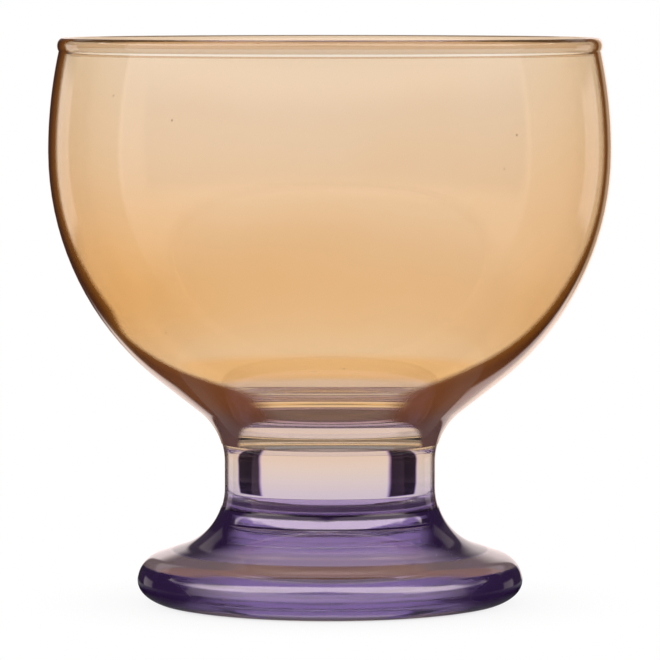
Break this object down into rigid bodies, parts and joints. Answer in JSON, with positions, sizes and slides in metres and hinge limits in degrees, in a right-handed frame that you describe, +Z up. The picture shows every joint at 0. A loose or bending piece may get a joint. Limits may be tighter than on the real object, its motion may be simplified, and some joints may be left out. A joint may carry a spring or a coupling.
{
  "type": "dessert glass",
  "caption": "Footed dessert glass: a round open bowl with a beaded rim on a short solid stem and a flared disc foot, with colour coats on bowl and foot.",
  "frame": {"origin": "centre of the foot's resting ring, on the table", "axes": "+Z up along the axis of the glass"},
  "size_m": [0.0962, 0.0962, 0.0967],
  "materials": {
    "clear_glass": "fire-polished clear glass",
    "amber_coat": "transparent amber colour coat, glossy",
    "violet_coat": "transparent violet colour coat, glossy"
  },
  "bodies": {
    "root": {"bowl": "clear_glass", "stem": "clear_glass", "foot": "clear_glass", "bowl_colour_coat": "amber_coat", "foot_colour_coat": "violet_coat"}
  },
  "joints": []
}
